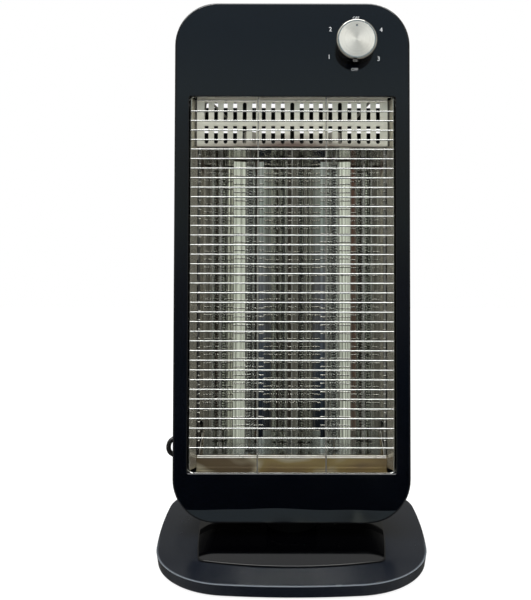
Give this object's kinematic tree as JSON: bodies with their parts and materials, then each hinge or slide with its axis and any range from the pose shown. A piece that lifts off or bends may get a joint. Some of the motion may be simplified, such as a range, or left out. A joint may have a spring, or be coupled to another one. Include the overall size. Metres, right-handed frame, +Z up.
{
  "type": "oscillating radiant heater",
  "caption": "Upright radiant heater: rounded gloss-black casing, wire guard over quartz tubes in polished troughs, selector knob, and a flat oval base it swings on.",
  "frame": {"origin": "on the floor, on the swing axis, at the centre of the base's footprint", "axes": "+Z up; -Y towards the guarded front; +X towards the right as seen from the front"},
  "size_m": [0.3176, 0.4405, 0.6],
  "materials": {
    "casing_black": "gloss black lacquer on pressed steel",
    "cover_black": "satin black lacquer on pressed steel",
    "screw_black": "black-coated steel",
    "screw_zinc": "zinc-plated steel",
    "chrome_wire": "bright chrome on steel wire",
    "vent_steel": "satin stainless sheet",
    "mirror_sheet": "polished aluminium sheet",
    "bracket_steel": "galvanised steel sheet",
    "quartz": "clear fused quartz",
    "resistance_wire": "heat-oxidised resistance wire",
    "support_metal": "nickel wire and discs",
    "cap_ceramic": "unglazed white ceramic",
    "switch_plastic": "moulded heat-proof plastic",
    "shaft_steel": "turned steel",
    "knob_plastic": "silver-coated plastic",
    "knob_metal": "satin aluminium disc",
    "base_grey": "semi-gloss dark grey plastic",
    "deck_black": "gloss black plastic",
    "collar_black": "satin black plastic",
    "bush_nylon": "natural nylon",
    "plate_steel": "zinc-plated sheet steel",
    "motor_steel": "tinned steel can",
    "link_steel": "zinc-plated steel",
    "foot_rubber": "black rubber",
    "plunger_plastic": "red acetal",
    "spring_steel": "spring wire",
    "block_plastic": "natural moulded plastic",
    "lead_sleeve": "glass-fibre sleeve",
    "cord_black": "black flexible sheath",
    "plug_black": "black moulded rubbery plastic",
    "pin_brass": "nickel-plated brass",
    "tie_black": "black nylon strap"
  },
  "bodies": {
    "base": {"base_top": "base_grey", "base_deck": "deck_black", "base_plate": "plate_steel", "base_screws": "screw_zinc", "feet": "foot_rubber", "swivel_collar": "collar_black", "swivel_post": "plate_steel", "post_screws": "screw_zinc", "swivel_washer": "bush_nylon", "retaining_ring": "plate_steel", "retaining_nut": "screw_zinc", "swing_arm": "link_steel", "tip_switch": "switch_plastic", "tip_spring": "spring_steel"},
    "casing": {"front_casing": "casing_black", "rear_cover": "cover_black", "rear_cover_screws": "screw_black", "wire_guard": "chrome_wire", "vent_plate": "vent_steel", "left_reflector": "mirror_sheet", "right_reflector": "mirror_sheet", "left_side_plate": "mirror_sheet", "right_side_plate": "mirror_sheet", "side_plate_screws": "screw_zinc", "lower_reflector_strip": "mirror_sheet", "panel_screws": "screw_zinc", "lower_bracket": "bracket_steel", "upper_bracket": "bracket_steel", "left_quartz_tube": "quartz", "right_quartz_tube": "quartz", "left_filament": "resistance_wire", "right_filament": "resistance_wire", "filament_supports": "support_metal", "lower_end_caps": "cap_ceramic", "upper_end_caps": "cap_ceramic", "thermal_cutout": "switch_plastic", "rotary_switch": "switch_plastic", "switch_nut": "screw_zinc", "support_plate": "plate_steel", "support_screws": "screw_zinc", "swivel_bush": "bush_nylon", "swing_motor": "motor_steel", "motor_screws": "screw_zinc", "terminal_block": "block_plastic", "inner_leads": "lead_sleeve", "strain_relief": "plug_black", "cord_run": "cord_black", "cord_coil": "cord_black", "cord_tail": "cord_black", "cord_tie": "tie_black", "plug_body": "plug_black", "plug_pins": "pin_brass"},
    "knob": {"knob": "knob_plastic", "knob_face": "knob_metal", "switch_shaft": "shaft_steel"},
    "crank": {"motor_shaft": "shaft_steel", "crank": "bush_nylon", "crank_pin": "shaft_steel"},
    "link": {"swing_link": "link_steel"},
    "plunger": {"tip_plunger": "plunger_plastic"}
  },
  "joints": [
    {"name": "casing_swing", "type": "hinge", "parent": "base", "child": "casing", "pos_m": [0, 0, 0.035], "axis": [0, 0, 1], "range_deg": [-34.8, 34.8]},
    {"name": "knob_turn", "type": "hinge", "parent": "casing", "child": "knob", "pos_m": [0.0687, -0.0426, 0.553], "axis": [0, 1, 0], "continuous": true},
    {"name": "crank_turn", "type": "hinge", "parent": "casing", "child": "crank", "pos_m": [0.052, 0, 0.0585], "axis": [0, 0, 1], "range_deg": [-91, 91]},
    {"name": "link_turn", "type": "hinge", "parent": "crank", "child": "link", "pos_m": [0.05532, 0.01153, 0.062], "axis": [0, 0, 1], "range_deg": [-91, 91]},
    {"name": "tip_plunger_slide", "type": "slide", "parent": "base", "child": "plunger", "axis": [0, 0, 1], "range_m": [-0.003, 0], "stiffness_N_per_m": 150, "springref_m": -0.006, "deforming": ["tip_spring"]}
  ],
  "couplings": [
    {"joint": "crank_turn", "follows": "casing_swing", "ratio": -2.58},
    {"joint": "link_turn", "follows": "casing_swing", "ratio": 2.58}
  ]
}
